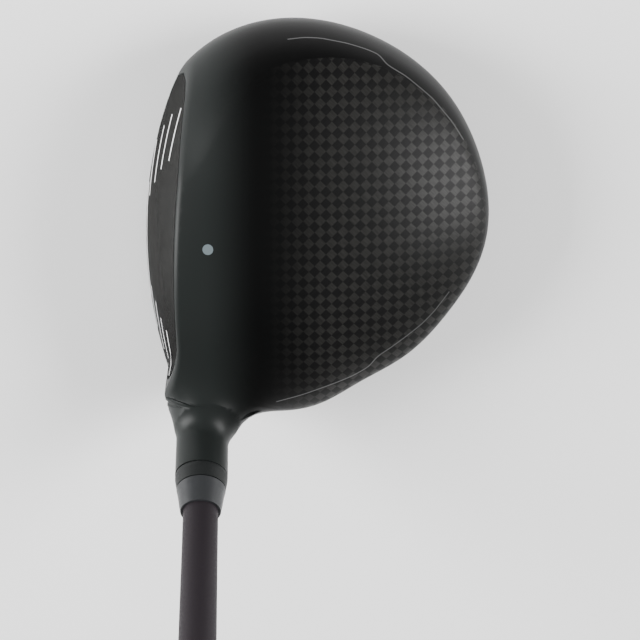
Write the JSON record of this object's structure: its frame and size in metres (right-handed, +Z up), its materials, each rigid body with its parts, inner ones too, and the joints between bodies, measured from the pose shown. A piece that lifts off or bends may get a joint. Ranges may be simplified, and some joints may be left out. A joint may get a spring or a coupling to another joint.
{
  "type": "fairway wood",
  "caption": "Golf club with a hollow rounded metal head, woven composite crown, adjustable hosel, tapered shaft and rubber grip, standing at address.",
  "frame": {"origin": "middle of the flat on the sole", "axes": "+Z up with the club at address, +X from the face to the back of the head, +Y from the heel to the toe; the shaft rises towards -Y"},
  "size_m": [0.0866, 0.6799, 0.9273],
  "materials": {
    "head_paint": "matte black paint on cast steel",
    "face_steel": "dark brushed steel",
    "crown_composite": "satin clear coat over a black plain weave",
    "badge_metal": "satin",
    "hot_melt": "waxy",
    "ring_steel": "machined",
    "sleeve_alloy": "black anodised",
    "screw_steel": "dark zinc",
    "retainer_nylon": "matte",
    "ferrule_plastic": "satin",
    "shaft_graphite": "satin paint over graphite",
    "epoxy": "cured resin",
    "plug_plastic": "matte",
    "tape": "paper tape",
    "grip_rubber": "textured",
    "cap_rubber": "smooth",
    "weight_tungsten": "machined"
  },
  "bodies": {
    "head": {"head_body": "head_paint", "face_insert": "face_steel", "crown_panel": "crown_composite", "sole_badge": "badge_metal", "hot_melt_pad": "hot_melt", "screw_retainer": "retainer_nylon"},
    "index_ring": {"hosel_insert": "ring_steel"},
    "shaft_assembly": {"adapter_sleeve": "sleeve_alloy", "ferrule": "ferrule_plastic", "shaft": "shaft_graphite", "shaft_epoxy": "epoxy", "tip_plug": "plug_plastic", "grip_tape": "tape", "grip": "grip_rubber", "grip_cap": "cap_rubber"},
    "washer": {"screw_washer": "screw_steel"},
    "sleeve_screw": {"hosel_screw": "screw_steel"},
    "back_weight": {"rear_weight": "weight_tungsten"},
    "back_screw": {"weight_screw": "screw_steel"}
  },
  "joints": [
    {"name": "sleeve_index", "type": "hinge", "parent": "head", "child": "index_ring", "pos_m": [-0.0276, -0.0548, 0.04], "axis": [0.0262, -0.5371, 0.8431], "continuous": true},
    {"name": "sleeve_lift", "type": "slide", "parent": "index_ring", "child": "shaft_assembly", "axis": [0.0262, -0.5371, 0.8431], "range_m": [0, 0.045]},
    {"name": "screw_travel", "type": "slide", "parent": "head", "child": "washer", "axis": [-0.0262, 0.5371, -0.8431], "range_m": [0, 0.0045]},
    {"name": "hosel_screw_turn", "type": "hinge", "parent": "washer", "child": "sleeve_screw", "pos_m": [-0.02848, -0.03675, 0.01167], "axis": [-0.0262, 0.5371, -0.8431], "range_deg": [0, 2070]},
    {"name": "weight_travel", "type": "slide", "parent": "head", "child": "back_weight", "axis": [0.2164, -0.0407, -0.9755], "range_m": [0, 0.008]},
    {"name": "weight_screw_turn", "type": "hinge", "parent": "back_weight", "child": "back_screw", "pos_m": [0.025, 0, 0.00098], "axis": [0.2164, -0.0407, -0.9755], "range_deg": [0, 3645]}
  ],
  "couplings": [
    {"joint": "hosel_screw_turn", "follows": "screw_travel", "rad_per_m": 7854},
    {"joint": "weight_screw_turn", "follows": "weight_travel", "rad_per_m": 7854}
  ]
}
